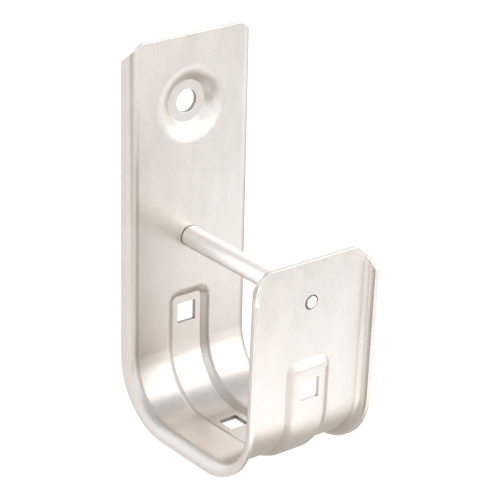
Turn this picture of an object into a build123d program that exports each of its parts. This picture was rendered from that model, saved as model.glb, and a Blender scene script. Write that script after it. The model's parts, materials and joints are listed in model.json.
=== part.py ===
"""Cable j-hook: a pressed and folded sheet-steel hook with a round pin across its mouth.

The origin is the centre of the mounting hole on the wall plane. +Z is up, +Y points into the
wall, and the cables lie on the -Y side. Lengths are in millimetres and angles in degrees.
"""

import os
from math import cos, pi, radians, sin, sqrt, tan

from build123d import *

# Sheet and its rolled side flanges
sheet = 1.3
width = 40.8
flange_depth = 3.75
roll_radius = 3.45

# Side view of the hook, measured on the face that the cables touch
cable_gap = 50.8
bend_radius = 15.2
hole_to_top = 19.5
hole_to_floor = 85.1
lip_height = 58.75
lip_lean = 1.6

# Corners cut off the flat blank at 45 degrees, at the top of the back plate and of the lip
back_corner_cut = 4.8
lip_corner_cut = 6.8
corner_round = 3.5

# Dimple round the mounting hole, pressed back to the wall
mounting_hole = 6.5
dimple_diameter = 23.5
dimple_wall_angle = 37.0
dimple_rim_bevel = 2.6
dimple_foot_bevel = 0.6

# Channel pressed outwards along the back plate, the floor and the lip
channel_width = 15.1
channel_depth = 1.3
channel_rise = 16.55
channel_corner = 4.15
channel_wall_angle = 34.0
channel_rim_bevel = 0.85
channel_foot_bevel = 0.95
slope_share = 0.95
square_hole = 5.9
back_square_rise = 8.4
floor_square_offset = 5.6
lip_square_rise = 7.5

# Retaining pin, riveted in the back plate, with its tip in the lip
pin_height = 46.85
pin_diameter = 6.0
rivet_diameter = 4.4
rivet_clearance = 0.05
rivet_head_diameter = 7.4
rivet_head_height = 1.5
rivet_bevel = 0.4
tip_diameter = 3.9
tip_hole = 4.2
tip_proud = 0.4
tip_bevel = 0.5
shoulder_clearance = 0.1

# Places worked out from the sizes above
half_width = width / 2
flat_half = half_width - roll_radius
rolled_length = (roll_radius - sheet / 2) * pi / 2
blank_half = flat_half + rolled_length + flange_depth - roll_radius
corner_run = corner_round * tan(radians(22.5))
back_face = -flange_depth
floor_z = -hole_to_floor
bend_z = floor_z + bend_radius
pin_z = floor_z + pin_height
slope = tan(radians(lip_lean))
lip_up = Vector(0, -sin(radians(lip_lean)), cos(radians(lip_lean)))
lip_out = Vector(0, -cos(radians(lip_lean)), -sin(radians(lip_lean)))
floor_flat = cable_gap - bend_radius * (1 + 1 / cos(radians(lip_lean))) - (pin_z - bend_z) * slope
front_bend_centre = Vector(0, back_face - bend_radius - floor_flat, bend_z)
lip_start = front_bend_centre + lip_out * bend_radius
lip_run = (floor_z + lip_height - lip_start.Z) / lip_up.Z

# Planes on the cable face of each wall: x across the hook, z outwards through the sheet
back_plane = Plane(origin=(0, back_face, bend_z), x_dir=(-1, 0, 0), z_dir=(0, 1, 0))
floor_plane = Plane(origin=(0, back_face - bend_radius, floor_z), x_dir=(1, 0, 0), z_dir=(0, 0, -1))
lip_plane = Plane(origin=lip_start, x_dir=(1, 0, 0), z_dir=lip_out)


def hook_line(back_run, lip_length):
    """The hook's side view on the cable face, from the back plate round to the lip."""
    with BuildLine(Plane.YZ) as line:
        back = Line((back_face, bend_z + back_run), (back_face, bend_z))
        rear_bend = JernArc(back @ 1, back % 1, bend_radius, -90)
        floor = Line(rear_bend @ 1, (rear_bend @ 1) + (rear_bend % 1) * floor_flat)
        front_bend = JernArc(floor @ 1, floor % 1, bend_radius, lip_lean - 90)
        Line(front_bend @ 1, (front_bend @ 1) + (front_bend % 1) * lip_length)
    return line.wire()


def section_plane(back_run):
    """The plane across the back plate where a section of the sheet starts its sweep."""
    return Plane(origin=(0, back_face, bend_z + back_run), x_dir=(1, 0, 0), z_dir=(0, 0, 1))


def up_the_wall(plane, rise):
    """A wall's plane, moved up along the wall."""
    return Plane(plane.location * Location((0, rise, 0)))


def blank_drop(across, start):
    """How far the blank's cut corner, which starts at start, has dropped at a place across it."""
    past = max(across - start + corner_run, 0)
    if past < corner_round * sin(radians(45)):
        return corner_round - sqrt(corner_round**2 - past**2)
    return across - start


def corner_tool(cut):
    """What the blank loses at both top corners of a wall, carried round the rolled edges."""
    start = blank_half - cut
    with BuildPart() as tool:
        with BuildSketch():
            with BuildLine():
                side = Line((start - corner_run, sheet), (start - corner_run, 0))
                corner = JernArc(side @ 1, (1, 0), corner_round, -45)
                Polyline(corner @ 1, (blank_half, -cut), (blank_half, sheet), side @ 0)
            make_face()
            Rectangle(2 * flat_half, 2 * (cut + sheet), mode=Mode.INTERSECT)
        extrude(amount=2 * sheet, both=True)
        for turn in (0, 30, 60, 90):
            drop = blank_drop(flat_half + rolled_length * turn / 90, start)
            outwards = (sin(radians(turn)), 0, -cos(radians(turn)))
            onwards = (cos(radians(turn)), 0, sin(radians(turn)))
            with BuildSketch(Plane(origin=(flat_half, 0, roll_radius), x_dir=outwards, z_dir=onwards)):
                with Locations((roll_radius - sheet / 2, -(drop - sheet) / 2)):
                    Rectangle(2 * sheet, drop + sheet)
        loft()
        with BuildSketch(Plane.YZ.offset(half_width)):
            with BuildLine():
                Polyline(
                    (flange_depth - roll_radius - cut, roll_radius),
                    (-cut - sheet, flange_depth + sheet),
                    (sheet, flange_depth + sheet),
                    (sheet, roll_radius),
                    close=True,
                )
            make_face()
        extrude(amount=2 * sheet, both=True)
        mirror(about=Plane.YZ)
    return tool.part


def pressed_wall(rim, depth, angle, rim_bevel, foot_bevel):
    """Half a section of sheet pressed down to a flat floor, bevelled at its rim and foot."""
    across = cos(radians(angle))
    down = sin(radians(angle))
    rear_shift = sheet * tan(radians(angle / 2))
    most_bevel = slope_share * depth / down
    rim_cut = min(rim_bevel, most_bevel)
    foot_cut = min(foot_bevel, most_bevel)
    shoulder = rim - rim_cut
    foot = shoulder - depth / tan(radians(angle))
    rear_foot = foot + rear_shift
    rear_floor = depth + sheet
    with BuildSketch() as wall:
        with BuildLine():
            Polyline(
                (rim, 0),
                (shoulder - rim_cut * across, rim_cut * down),
                (foot, depth),
                (0, depth),
                (0, rear_floor),
                (rear_foot - foot_cut, rear_floor),
                (rear_foot + foot_cut * across, rear_floor - foot_cut * down),
                (shoulder + rear_shift, sheet),
                (rim, sheet),
                close=True,
            )
        make_face()
    return wall.sketch


# Channel: its section swept round the trough, and the closed end that it has on both walls
channel_half = channel_width / 2
channel_run = channel_rise - channel_corner
channel_line = hook_line(channel_run, channel_run)
corner_x = channel_half - channel_corner
channel_form = (channel_depth, channel_wall_angle, channel_rim_bevel, channel_foot_bevel)
channel_end_wall = pressed_wall(channel_corner, *channel_form)
channel_side = pressed_wall(channel_half, *channel_form)

with BuildPart() as channel_trough:
    with BuildSketch(section_plane(channel_run)):
        add(channel_side)
        mirror(about=Plane.YZ)
    sweep(path=channel_line)

with BuildPart() as channel_end:
    with BuildSketch(Plane.YZ):
        add(channel_end_wall)
    extrude(amount=corner_x, both=True)
    with BuildSketch(Plane.YZ.offset(corner_x)):
        add(channel_end_wall)
    revolve(axis=Axis((corner_x, 0, 0), (0, 0, -1)), revolution_arc=90)
    mirror(about=Plane.YZ)

# Room for the channel, cut right through the flat sheet
with BuildPart() as channel_room:
    with BuildSketch(section_plane(channel_run)):
        with Locations((0, sheet / 2)):
            Rectangle(channel_width, 2 * sheet)
    sweep(path=channel_line)

with BuildPart() as channel_end_room:
    with BuildSketch(Plane.XY.offset(-sheet / 2)):
        with Locations((-corner_x, 0), (corner_x, 0)):
            Circle(channel_corner)
        with Locations((0, channel_corner / 2)):
            Rectangle(2 * corner_x, channel_corner)
    extrude(amount=2 * sheet)

# Dimple: a pressed ring whose foot lies on the wall
dimple_depth = flange_depth - sheet
dimple_form = (dimple_depth, dimple_wall_angle, dimple_rim_bevel, dimple_foot_bevel)
dimple_wall = pressed_wall(dimple_diameter / 2, *dimple_form)

with BuildPart() as dimple:
    with BuildSketch(Plane(origin=(0, back_face, 0), x_dir=(1, 0, 0), z_dir=(0, 0, 1))):
        add(dimple_wall)
    revolve(axis=Axis.Y)

# Hook body: the flanged sheet swept round the hook, then cut and pressed
back_run = hole_to_top - bend_z
hole_plane = up_the_wall(back_plane, -bend_z)
channel_ends = (up_the_wall(back_plane, channel_run), up_the_wall(lip_plane, channel_run))
square_planes = (
    up_the_wall(back_plane, back_square_rise),
    up_the_wall(floor_plane, floor_square_offset),
    up_the_wall(lip_plane, lip_square_rise),
)
rivet_plane = up_the_wall(back_plane, pin_z - bend_z)
tip_plane = up_the_wall(lip_plane, (pin_z - lip_start.Z) / lip_up.Z)
corner_cuts = (
    (up_the_wall(back_plane, back_run), corner_tool(back_corner_cut)),
    (up_the_wall(lip_plane, lip_run), corner_tool(lip_corner_cut)),
)

with BuildPart() as hook_body:
    with BuildSketch(section_plane(back_run)):
        with BuildLine():
            FilletPolyline(
                (half_width, flange_depth),
                (half_width, 0),
                (-half_width, 0),
                (-half_width, flange_depth),
                radius=roll_radius,
            )
            offset(amount=sheet, side=Side.RIGHT)
        make_face()
    sweep(path=hook_line(back_run, lip_run))

    for top_edge, tool in corner_cuts:
        with Locations(top_edge):
            add(tool, mode=Mode.SUBTRACT)

    with BuildSketch(hole_plane.offset(-sheet)):
        Circle(dimple_diameter / 2)
    extrude(amount=3 * sheet, mode=Mode.SUBTRACT)
    add(dimple.part)

    add(channel_room.part, mode=Mode.SUBTRACT)
    with Locations(*channel_ends):
        add(channel_end_room.part, mode=Mode.SUBTRACT)
    add(channel_trough.part)
    with Locations(*channel_ends):
        add(channel_end.part)

    with BuildSketch(*square_planes):
        Rectangle(square_hole, square_hole)
    extrude(amount=channel_depth + 2 * sheet, mode=Mode.SUBTRACT)
    with BuildSketch(hole_plane):
        Circle(mounting_hole / 2)
    extrude(amount=flange_depth + sheet, mode=Mode.SUBTRACT)
    with BuildSketch(rivet_plane.offset(-sheet)):
        Circle(rivet_diameter / 2 + rivet_clearance)
    extrude(amount=3 * sheet, mode=Mode.SUBTRACT)
    with BuildSketch(tip_plane.offset(-sheet)):
        Circle(tip_hole / 2)
    extrude(amount=3 * sheet, mode=Mode.SUBTRACT)

# Retaining pin: one turned piece with a shoulder at each end
pin_shoulder = back_face - cable_gap + pin_diameter / 2 * slope + shoulder_clearance
tip_end = back_face - cable_gap - sheet - tip_proud
rivet_seat = back_face + sheet
rivet_top = rivet_seat + rivet_head_height

with BuildPart() as retaining_pin:
    with BuildSketch(Plane(origin=(0, 0, pin_z), x_dir=(1, 0, 0), z_dir=(0, 0, 1))):
        with BuildLine():
            Polyline(
                (0, tip_end),
                (tip_diameter / 2 - tip_bevel, tip_end),
                (tip_diameter / 2, tip_end + tip_bevel),
                (tip_diameter / 2, pin_shoulder),
                (pin_diameter / 2, pin_shoulder),
                (pin_diameter / 2, back_face),
                (rivet_diameter / 2, back_face),
                (rivet_diameter / 2, rivet_seat),
                (rivet_head_diameter / 2, rivet_seat),
                (rivet_head_diameter / 2, rivet_top - rivet_bevel),
                (rivet_head_diameter / 2 - rivet_bevel, rivet_top),
                (0, rivet_top),
                close=True,
            )
        make_face()
    revolve(axis=Axis((0, 0, pin_z), (0, 1, 0)))

# One file for each piece
os.makedirs("parts", exist_ok=True)
hook_body.part.label = "hook_body"
retaining_pin.part.label = "retaining_pin"
export_step(hook_body.part, "parts/hook_body.step")
export_step(retaining_pin.part, "parts/retaining_pin.step")
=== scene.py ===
import json
from math import cos, hypot, pi, radians, sin, tan

import bmesh
import bpy
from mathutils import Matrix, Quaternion, Vector


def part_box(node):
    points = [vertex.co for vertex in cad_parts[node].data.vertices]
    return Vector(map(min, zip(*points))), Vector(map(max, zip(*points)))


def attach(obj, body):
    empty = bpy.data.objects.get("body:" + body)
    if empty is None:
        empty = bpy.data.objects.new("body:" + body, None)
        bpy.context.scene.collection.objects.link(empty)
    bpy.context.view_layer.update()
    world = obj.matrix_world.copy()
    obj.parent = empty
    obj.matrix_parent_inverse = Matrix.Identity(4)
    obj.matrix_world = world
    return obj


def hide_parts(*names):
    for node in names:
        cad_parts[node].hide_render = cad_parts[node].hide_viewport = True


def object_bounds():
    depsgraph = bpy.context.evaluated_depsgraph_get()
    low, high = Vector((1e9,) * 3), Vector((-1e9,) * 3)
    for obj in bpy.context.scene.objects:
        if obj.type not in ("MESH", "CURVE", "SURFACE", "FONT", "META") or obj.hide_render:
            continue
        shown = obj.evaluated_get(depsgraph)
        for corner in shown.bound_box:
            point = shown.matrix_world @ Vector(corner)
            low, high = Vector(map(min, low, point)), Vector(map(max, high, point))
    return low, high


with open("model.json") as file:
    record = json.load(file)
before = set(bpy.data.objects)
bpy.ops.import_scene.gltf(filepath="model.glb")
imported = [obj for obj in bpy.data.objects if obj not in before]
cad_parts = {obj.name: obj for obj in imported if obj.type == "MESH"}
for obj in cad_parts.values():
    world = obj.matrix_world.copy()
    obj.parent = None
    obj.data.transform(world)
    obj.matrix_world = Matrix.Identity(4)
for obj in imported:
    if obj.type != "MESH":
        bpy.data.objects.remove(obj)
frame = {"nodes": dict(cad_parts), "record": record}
cad_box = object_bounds()

# Hook body: one sheet of galvanised steel, pressed and folded cold, with both long edges rolled
# outwards. It is sheared from the coil, so its cut edges are slightly rounded and rubbed bright. The
# creases that the press leaves are darkened a little with painted shade, and the walls of the inner
# holes are darkened more.
seam_gap = 0.000001
plate_face = -0.00375
seat_face = -0.0013
dimple_rim = 0.01175
dimple_foot = 0.0059
dimple_slope = radians(37.0)
dimple_lap = 0.00005
dimple_turns = 96
rim_steps = 10
flat_angle = radians(0.6)
sharp_angle = radians(30.0)
sheet_edge_round = 0.0001
sheet_crease_round = 0.00015
edge_rub = 1.0
# How much painted shade darkens the creases
crease_shade = 0.1
# The inner holes whose cut walls are darkened with painted shade, and how strongly
shaded_holes = ("mounting_hole", "back_square_hole", "floor_square_hole")
hole_reach = 0.0045
hole_facing = 0.6
hole_shade = 0.68
metal_share = 0.88
grain_share = 0.5
grain_depth = 0.0001
mottle_low = 0.3
mottle_high = 0.7

# The weighted normal modifier reads this layer: faces with this number keep their own shading
firmness_layer = "__mod_weightednormals_faceweight"
firm_shading = 16384
broad_area = 0.0001


def closed_copy(node_name):
    """A copy of a CAD node as one closed shape."""
    shape = bmesh.new()
    shape.from_mesh(frame["nodes"][node_name].data)
    bmesh.ops.remove_doubles(shape, verts=shape.verts, dist=seam_gap)
    return shape


def from_hole_axis(vert):
    """How far a vertex lies from the axis of the mounting hole."""
    return hypot(vert.co.x, vert.co.z)


def round_dimple(shape):
    """Give the front of the dimple the rounded rim of pressed sheet, in place of the solid's bevel."""
    pressed = []
    for face in shape.faces:
        reaches = [from_hole_axis(vert) for vert in face.verts]
        depths = [vert.co.y for vert in face.verts]
        in_ring = dimple_foot - dimple_lap < min(reaches) and max(reaches) < dimple_rim + dimple_lap
        if in_ring and face.normal.y < 0 and max(depths) - min(depths) > dimple_lap:
            pressed.append(face)
    bmesh.ops.delete(shape, geom=pressed, context="FACES")

    foot = dimple_foot + dimple_lap
    rim = dimple_rim - dimple_lap
    depth = seat_face - plate_face
    shoulder = foot + depth / tan(dimple_slope)
    rim_round = (rim - shoulder) / tan(dimple_slope / 2)
    tilts = [dimple_slope * step / rim_steps for step in range(rim_steps + 1)]
    places = [(rim - rim_round * sin(tilt), plate_face + rim_round * (1 - cos(tilt)), 0) for tilt in tilts]
    places.append((foot, seat_face, 0))
    profile = [shape.verts.new(place) for place in places]
    lines = [shape.edges.new(pair) for pair in zip(profile, profile[1:])]
    bmesh.ops.spin(
        shape,
        geom=profile + lines,
        cent=(0, 0, 0),
        axis=(0, 1, 0),
        angle=2 * pi,
        steps=dimple_turns,
        use_merge=True,
    )
    open_edges = [edge for edge in shape.edges if edge.is_boundary]
    rim_edges = [edge for edge in open_edges if from_hole_axis(edge.verts[0]) > shoulder]
    foot_edges = [edge for edge in open_edges if from_hole_axis(edge.verts[0]) <= shoulder]
    for ring in (rim_edges, foot_edges):
        bmesh.ops.bridge_loops(shape, edges=ring)
    bmesh.ops.recalc_face_normals(shape, faces=shape.faces)


def mark_face(face, layer, amount):
    """Set a mark at all corners of a face."""
    for corner in face.loops:
        corner[layer] = amount


def eased_piece(shape, node_name, piece_name, edge_round, crease_round):
    """A piece that stands for a CAD node, with its edges and creases rounded, its edges marked as worn and
    its creases marked for painted shade.
    """
    bmesh.ops.dissolve_limit(shape, angle_limit=flat_angle, verts=shape.verts, edges=shape.edges)
    firmness = shape.faces.layers.int.new(firmness_layer)
    creases = [edge for edge in shape.edges if edge.calc_face_angle_signed(0) < -sharp_angle]
    firm_faces = [face for edge in creases for face in edge.link_faces]
    firm_faces += [face for face in shape.faces if face.calc_area() > broad_area]
    for face in firm_faces:
        face[firmness] = firm_shading

    for mark_name in ("edge_wear", "painted_shade"):
        shape.loops.layers.float.new(mark_name)
    # Convex edges are marked as rubbed bright; concave creases are marked for painted shade, a dark colour
    # that stands in for shade
    eases = (("edge_wear", 1, edge_round, edge_rub), ("painted_shade", -1, crease_round, crease_shade))
    for mark_name, side, size, amount in eases:
        sharp_edges = [edge for edge in shape.edges if side * edge.calc_face_angle_signed(0) > sharp_angle]
        eased = bmesh.ops.bevel(
            shape, geom=sharp_edges, offset=size, affect="EDGES", segments=2, profile=0.5, material=-1
        )
        mark = shape.loops.layers.float[mark_name]
        for face in eased["faces"]:
            face[firmness] = 0
            mark_face(face, mark, amount)

    for face in shape.faces:
        face.smooth = True
    mesh = bpy.data.meshes.new(piece_name)
    shape.to_mesh(mesh)
    shape.free()
    piece = bpy.data.objects.new(piece_name, mesh)
    bpy.context.scene.collection.objects.link(piece)
    even_shading = piece.modifiers.new("even_shading", "WEIGHTED_NORMAL")
    even_shading.keep_sharp = True
    even_shading.use_face_influence = True
    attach(piece, "root")
    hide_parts(node_name)
    return piece


def shade_holes(piece):
    """Paint shade on the cut walls of the inner holes that face inward."""
    mounts = frame["record"]["mounts"]
    hole_places = [Vector(mount["pos_m"]) for mount in mounts if mount["name"] in shaded_holes]
    shape = bmesh.new()
    shape.from_mesh(piece.data)
    shade_layer = shape.loops.layers.float["painted_shade"]
    for face in shape.faces:
        for hole_place in hole_places:
            inward = hole_place - face.calc_center_median()
            # Painted shade on hole walls that face into the hole
            if inward.length < hole_reach and face.normal.dot(inward.normalized()) > hole_facing:
                mark_face(face, shade_layer, hole_shade)
    shape.to_mesh(piece.data)
    shape.free()


mill_finish = bpy.data.node_groups.new("mill_finish", "ShaderNodeTree")
mill_finish.interface.new_socket("Place", in_out="INPUT", socket_type="NodeSocketVector")
mill_finish.interface.new_socket("Grain Scale", in_out="INPUT", socket_type="NodeSocketFloat")
mill_finish.interface.new_socket("Blotch Scale", in_out="INPUT", socket_type="NodeSocketFloat")
mill_finish.interface.new_socket("Grain", in_out="OUTPUT", socket_type="NodeSocketFloat")
mill_finish.interface.new_socket("Blotch", in_out="OUTPUT", socket_type="NodeSocketFloat")
mill_input = mill_finish.nodes.new("NodeGroupInput")
mill_output = mill_finish.nodes.new("NodeGroupOutput")
mill_grain = mill_finish.nodes.new("ShaderNodeTexNoise")
mill_grain.inputs["Detail"].default_value = 4.0
mill_grain.inputs["Roughness"].default_value = 0.6
mill_blotch = mill_finish.nodes.new("ShaderNodeTexNoise")
mill_blotch.inputs["Detail"].default_value = 5.0
mill_blotch.inputs["Roughness"].default_value = 0.55
mill_blotch.inputs["Distortion"].default_value = 0.4
mill_finish.links.new(mill_input.outputs["Place"], mill_grain.inputs["Vector"])
mill_finish.links.new(mill_input.outputs["Place"], mill_blotch.inputs["Vector"])
mill_finish.links.new(mill_input.outputs["Grain Scale"], mill_grain.inputs["Scale"])
mill_finish.links.new(mill_input.outputs["Blotch Scale"], mill_blotch.inputs["Scale"])
mill_finish.links.new(mill_grain.outputs["Fac"], mill_output.inputs["Grain"])
mill_finish.links.new(mill_blotch.outputs["Fac"], mill_output.inputs["Blotch"])

# Mixes the worn colour onto rubbed edges, and a dark painted shade colour where shade is painted
wear_and_painted_shade = bpy.data.node_groups.new("wear_and_painted_shade", "ShaderNodeTree")
wear_and_painted_shade.interface.new_socket("Plain", in_out="INPUT", socket_type="NodeSocketColor")
wear_and_painted_shade.interface.new_socket("Colour", in_out="OUTPUT", socket_type="NodeSocketColor")
marks_input = wear_and_painted_shade.nodes.new("NodeGroupInput")
marks_output = wear_and_painted_shade.nodes.new("NodeGroupOutput")
marked_colour = marks_input.outputs["Plain"]
for amount_name, colour_name in (("Wear", "Worn"), ("Painted Shade", "Shade Colour")):
    wear_and_painted_shade.interface.new_socket(amount_name, in_out="INPUT", socket_type="NodeSocketFloat")
    wear_and_painted_shade.interface.new_socket(colour_name, in_out="INPUT", socket_type="NodeSocketColor")
    mark_mix = wear_and_painted_shade.nodes.new("ShaderNodeMix")
    mark_mix.data_type = "RGBA"
    wear_and_painted_shade.links.new(marks_input.outputs[amount_name], mark_mix.inputs["Factor"])
    wear_and_painted_shade.links.new(marked_colour, mark_mix.inputs["A"])
    wear_and_painted_shade.links.new(marks_input.outputs[colour_name], mark_mix.inputs["B"])
    marked_colour = mark_mix.outputs["Result"]
wear_and_painted_shade.links.new(marked_colour, marks_output.inputs["Colour"])


def metal_material(
    name, stretch, grain_scale, blotch_scale, dull, bright, worn, shade_colour, roughness, relief
):
    """A satin metal: grain and blotches in its colour and roughness, rubbed edges, and painted shade where
    a layer marks it.
    """
    material = bpy.data.materials.new(name)
    material.use_nodes = True
    nodes = material.node_tree.nodes
    links = material.node_tree.links
    shader = nodes["Principled BSDF"]
    shader.inputs["Metallic"].default_value = metal_share

    place = nodes.new("ShaderNodeTexCoord")
    along = nodes.new("ShaderNodeMapping")
    along.inputs["Scale"].default_value = stretch
    finish = nodes.new("ShaderNodeGroup")
    finish.node_tree = mill_finish
    finish.inputs["Grain Scale"].default_value = grain_scale
    finish.inputs["Blotch Scale"].default_value = blotch_scale
    links.new(place.outputs["Object"], along.inputs["Vector"])
    links.new(along.outputs["Vector"], finish.inputs["Place"])
    mottle = nodes.new("ShaderNodeMix")
    mottle.inputs["Factor"].default_value = grain_share
    links.new(finish.outputs["Blotch"], mottle.inputs["A"])
    links.new(finish.outputs["Grain"], mottle.inputs["B"])

    tone = nodes.new("ShaderNodeValToRGB")
    tone.color_ramp.elements[0].position = mottle_low
    tone.color_ramp.elements[0].color = dull
    tone.color_ramp.elements[1].position = mottle_high
    tone.color_ramp.elements[1].color = bright
    links.new(mottle.outputs["Result"], tone.inputs["Fac"])
    marks = nodes.new("ShaderNodeGroup")
    marks.node_tree = wear_and_painted_shade
    marks.inputs["Worn"].default_value = worn
    marks.inputs["Shade Colour"].default_value = shade_colour
    links.new(tone.outputs["Color"], marks.inputs["Plain"])
    # The piece's layers: rubbed edges, and painted shade in creases, hole walls and joints
    for mark_name, amount_name in (("edge_wear", "Wear"), ("painted_shade", "Painted Shade")):
        mark = nodes.new("ShaderNodeAttribute")
        mark.attribute_name = mark_name
        links.new(mark.outputs["Fac"], marks.inputs[amount_name])
    links.new(marks.outputs["Colour"], shader.inputs["Base Color"])

    satin = nodes.new("ShaderNodeMapRange")
    satin.inputs["From Min"].default_value = mottle_low
    satin.inputs["From Max"].default_value = mottle_high
    satin.inputs["To Min"].default_value = roughness[0]
    satin.inputs["To Max"].default_value = roughness[1]
    links.new(mottle.outputs["Result"], satin.inputs["Value"])
    links.new(satin.outputs["Result"], shader.inputs["Roughness"])

    raised = nodes.new("ShaderNodeBump")
    raised.inputs["Strength"].default_value = relief
    raised.inputs["Distance"].default_value = grain_depth
    links.new(finish.outputs["Grain"], raised.inputs["Height"])
    links.new(raised.outputs["Normal"], shader.inputs["Normal"])
    return material


hook_shape = closed_copy("hook_body")
round_dimple(hook_shape)
hook_sheet = eased_piece(hook_shape, "hook_body", "hook_sheet", sheet_edge_round, sheet_crease_round)
shade_holes(hook_sheet)
hook_sheet.data.materials.append(
    metal_material(
        "galvanised_sheet",
        stretch=(1.0, 0.45, 0.45),
        grain_scale=2200.0,
        blotch_scale=160.0,
        dull=(0.558, 0.506, 0.460, 1.0),
        bright=(0.658, 0.600, 0.550, 1.0),
        worn=(0.78, 0.74, 0.70, 1.0),
        shade_colour=(0.10, 0.09, 0.08, 1.0),
        roughness=(0.31, 0.37),
        relief=0.03,
    )
)

# Retaining pin: a round steel bar, turned and left satin, with a shoulder and a smaller tip at its
# front end. It is riveted in the back plate. Painted shade darkens its root where it meets the plate,
# the side of its tip, and, more lightly, the end of its tip.
pin_edge_round = 0.0001
pin_lap = 0.00005
root_joint = 0.0003
tip_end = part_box("retaining_pin")[0][1]
tip_joint = 0.0002
tip_length = 0.0015
joint_shade = 1.0
tip_shade = 0.35


def shade_band(piece, start, end, amount):
    """Paint shade on the stretch of a piece between two places along Y."""
    shape = bmesh.new()
    shape.from_mesh(piece.data)
    for place in (start, end):
        everything = shape.verts[:] + shape.edges[:] + shape.faces[:]
        bmesh.ops.bisect_plane(shape, geom=everything, plane_co=(0, place, 0), plane_no=(0, 1, 0))
    shade_layer = shape.loops.layers.float["painted_shade"]
    for face in shape.faces:
        if start < face.calc_center_median().y < end:
            mark_face(face, shade_layer, amount)
    shape.to_mesh(piece.data)
    shape.free()


pin_shape = closed_copy("retaining_pin")
round_pin = eased_piece(pin_shape, "retaining_pin", "round_pin", pin_edge_round, pin_edge_round)
# Painted shade: a dark ring at the root, a dark band round the tip's side, and a lighter one on the tip's
# end
shade_band(round_pin, plate_face - root_joint, plate_face + pin_lap, joint_shade)
shade_band(round_pin, tip_end + tip_joint, tip_end + tip_length, joint_shade)
shade_band(round_pin, tip_end - pin_lap, tip_end + pin_lap, tip_shade)
round_pin.data.materials.append(
    metal_material(
        "bright_pin",
        stretch=(0.5, 1.6, 0.5),
        grain_scale=2200.0,
        blotch_scale=260.0,
        dull=(0.85, 0.81, 0.775, 1.0),
        bright=(0.92, 0.88, 0.845, 1.0),
        worn=(0.90, 0.87, 0.83, 1.0),
        shade_colour=(0.24, 0.22, 0.20, 1.0),
        roughness=(0.36, 0.43),
        relief=0.03,
    )
)

# Floor: one wide pale sheet a little way under the hook, which gives off its own light. The camera sees
# it plain white. The glow that the metal reflects is painted light: bright in front and to the right,
# with two dim patches, one to the front left and one behind on the right.
floor_reach = 4.0
floor_drop = 0.03
floor_centre = Vector((-0.05, -0.115, 0.0))
neutral_level = 1.1
coolness = 0.1
black = (0.0, 0.0, 0.0, 1.0)
white_paper = (1.2, 1.2, 1.2, 1.0)

# Degrees round the floor's centre, and brightness there
floor_turn_levels = (
    (-90, 1.15),
    (-76, 1.08),
    (-62, 0.52),
    (-38, 0.48),
    (-26, 1.10),
    (-16, 1.30),
    (20, 1.28),
    (52, 1.04),
    (66, 1.12),
    (73, 1.53),
    (84, 1.50),
    (96, 1.30),
    (110, 1.06),
    (122, 0.50),
    (154, 0.50),
    (185, 1.08),
    (220, 1.16),
    (270, 1.15),
)

# Places along Y, which are below 0 in front of the wall, and a factor on that brightness
floor_ahead_levels = (
    (-0.8, 1.20),
    (-0.4, 1.00),
    (-0.27, 0.70),
    (-0.21, 0.83),
    (-0.18, 1.14),
    (-0.15, 1.27),
    (-0.10, 1.22),
    (-0.05, 1.02),
    (0.0, 1.0),
)

# Places along X, which are above 0 to the right of the hook's middle, and a second factor
floor_across_levels = (
    (-0.05, 1.08),
    (0.0, 1.20),
    (0.045, 1.17),
    (0.085, 0.95),
    (0.10, 0.96),
    (0.125, 1.08),
    (0.15, 1.08),
    (0.2, 0.98),
)


def studio_white(level):
    """A white of the given brightness: brighter whites are a little cooler."""
    tint = coolness * (level - neutral_level)
    return (level * (1 - tint), level, level * (1 + tint), 1.0)


def shade_ramp(tree, amount, shades):
    """Shades that follow an amount from 0 to 1, from a row of (place, shade) in rising order."""
    start = shades[0][0]
    end = shades[-1][0]
    ramp = tree.nodes.new("ShaderNodeValToRGB")
    stops = ramp.color_ramp.elements
    stops[0].color = shades[0][1]
    stops[1].color = shades[-1][1]
    for place, shade in shades[1:-1]:
        stops.new((place - start) / (end - start)).color = shade
    tree.links.new(amount, ramp.inputs["Fac"])
    return ramp.outputs["Color"]


def turn_shades(tree, direction, levels):
    """Whites that follow the turn about the hook: 0 in front, 90 to the right, 180 behind."""
    turn = tree.nodes.new("ShaderNodeTexGradient")
    turn.gradient_type = "RADIAL"
    tree.links.new(direction, turn.inputs["Vector"])
    whites = [(angle, studio_white(level)) for angle, level in levels]
    return shade_ramp(tree, turn.outputs["Fac"], whites)


def level_shades(tree, direction, axis, levels):
    """Grey factors that follow one axis."""
    parts = tree.nodes.new("ShaderNodeSeparateXYZ")
    tree.links.new(direction, parts.inputs["Vector"])
    spread = tree.nodes.new("ShaderNodeMapRange")
    spread.inputs["From Min"].default_value = levels[0][0]
    spread.inputs["From Max"].default_value = levels[-1][0]
    tree.links.new(parts.outputs[axis], spread.inputs["Value"])
    greys = [(place, (level, level, level, 1.0)) for place, level in levels]
    return shade_ramp(tree, spread.outputs["Result"], greys)


def seen_as_paper(tree, *shades):
    """The product of some shades for reflected light, and white paper for the camera."""
    shaded = shades[0]
    for factor in shades[1:]:
        product = tree.nodes.new("ShaderNodeMix")
        product.data_type = "RGBA"
        product.blend_type = "MULTIPLY"
        product.inputs["Factor"].default_value = 1.0
        tree.links.new(shaded, product.inputs["A"])
        tree.links.new(factor, product.inputs["B"])
        shaded = product.outputs["Result"]
    path = tree.nodes.new("ShaderNodeLightPath")
    seen = tree.nodes.new("ShaderNodeMix")
    seen.data_type = "RGBA"
    seen.inputs["B"].default_value = white_paper
    tree.links.new(path.outputs["Is Camera Ray"], seen.inputs["Factor"])
    tree.links.new(shaded, seen.inputs["A"])
    return seen.outputs["Result"]


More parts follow.
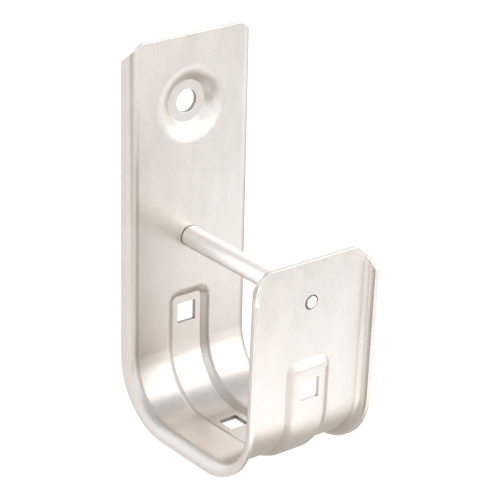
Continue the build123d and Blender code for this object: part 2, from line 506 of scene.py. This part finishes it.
floor_mesh = bpy.data.meshes.new("studio_floor")
floor_shape = bmesh.new()
bmesh.ops.create_grid(floor_shape, x_segments=1, y_segments=1, size=floor_reach)
bmesh.ops.translate(floor_shape, verts=floor_shape.verts, vec=(0, 0, cad_box[0][2] - floor_drop))
floor_shape.to_mesh(floor_mesh)
floor_shape.free()
floor = bpy.data.objects.new("studio_floor", floor_mesh)
bpy.context.scene.collection.objects.link(floor)

floor_material = bpy.data.materials.new("glowing_floor")
floor_material.use_nodes = True
floor_tree = floor_material.node_tree
floor_shader = floor_tree.nodes["Principled BSDF"]
# No lit colour: the floor's light is all painted glow
floor_shader.inputs["Base Color"].default_value = black
floor_shader.inputs["Specular IOR Level"].default_value = 0.0
floor_shader.inputs["Emission Strength"].default_value = 1.0
floor_place = floor_tree.nodes.new("ShaderNodeTexCoord").outputs["Object"]
floor_centred = floor_tree.nodes.new("ShaderNodeMapping")
floor_centred.inputs["Location"].default_value = -floor_centre
floor_tree.links.new(floor_place, floor_centred.inputs["Vector"])
floor_around = turn_shades(floor_tree, floor_centred.outputs["Vector"], floor_turn_levels)
floor_ahead = level_shades(floor_tree, floor_place, "Y", floor_ahead_levels)
floor_across = level_shades(floor_tree, floor_place, "X", floor_across_levels)
floor_glow = seen_as_paper(floor_tree, floor_around, floor_ahead, floor_across)
floor_tree.links.new(floor_glow, floor_shader.inputs["Emission Color"])
floor_mesh.materials.append(floor_material)

# Light: a pale room that is brightest behind the hook and dim overhead, and one large soft box that
# stands in front of the hook, to the right. The camera sees the room as white paper too.
room_turn_levels = (
    (-90, 1.30),
    (-38, 1.56),
    (20, 1.50),
    (90, 1.40),
    (142, 1.58),
    (180, 1.64),
    (220, 1.60),
    (270, 1.30),
)
room_rise_levels = ((0.0, 1.0), (0.6, 1.0), (0.78, 0.55), (1.0, 0.52))
room = bpy.data.worlds.new("pale_room")
room.use_nodes = True
room_tree = room.node_tree
room_direction = room_tree.nodes.new("ShaderNodeTexCoord").outputs["Generated"]
room_around = turn_shades(room_tree, room_direction, room_turn_levels)
room_above = level_shades(room_tree, room_direction, "Z", room_rise_levels)
room_paper = seen_as_paper(room_tree, room_around, room_above)
room_tree.links.new(room_paper, room_tree.nodes["Background"].inputs["Color"])
bpy.context.scene.world = room

hook_middle = Vector((0.0, -0.03, -0.035))
key_distance = 0.9
key_turn = radians(38.0)
key_rise = radians(24.5)
key_half_width = radians(28.0)
key_half_height = radians(27.5)
key_watts = 4.75
key_colour = (0.95, 1.0, 1.04)
key_light = bpy.data.lights.new("key_box", "AREA")
key_light.shape = "RECTANGLE"
key_light.size = 2 * key_distance * tan(key_half_width)
key_light.size_y = 2 * key_distance * tan(key_half_height)
key_light.energy = key_watts
key_light.color = key_colour
key_turned = Quaternion((0, 0, 1), key_turn) @ Quaternion((1, 0, 0), -key_rise)
key_place = hook_middle + key_turned @ Vector((0, -key_distance, 0))
key_box = bpy.data.objects.new("key_box", key_light)
key_box.location = key_place
key_box.rotation_euler = (hook_middle - key_place).to_track_quat("-Z", "Y").to_euler()
key_box.visible_camera = False
bpy.context.scene.collection.objects.link(key_box)

# Camera: a long lens in front of the hook, to the left and above, as in the photograph. It is turned
# a little about its own line of sight.
camera_place = Vector((-0.34397, -0.46218, 0.21041))
camera_aim = Vector((0.0, -0.02997, -0.03302))
camera_roll = radians(1.396)
focal_length = 165.38
sensor_width = 36.0
camera_lens = bpy.data.cameras.new("camera")
camera_lens.lens = focal_length
camera_lens.sensor_width = sensor_width
camera = bpy.data.objects.new("camera", camera_lens)
camera.location = camera_place
camera_turned = (camera_aim - camera_place).to_track_quat("-Z", "Y") @ Quaternion((0, 0, 1), camera_roll)
camera.rotation_euler = camera_turned.to_euler()
bpy.context.scene.collection.objects.link(camera)
bpy.context.scene.camera = camera
bpy.context.scene.view_settings.view_transform = "Standard"
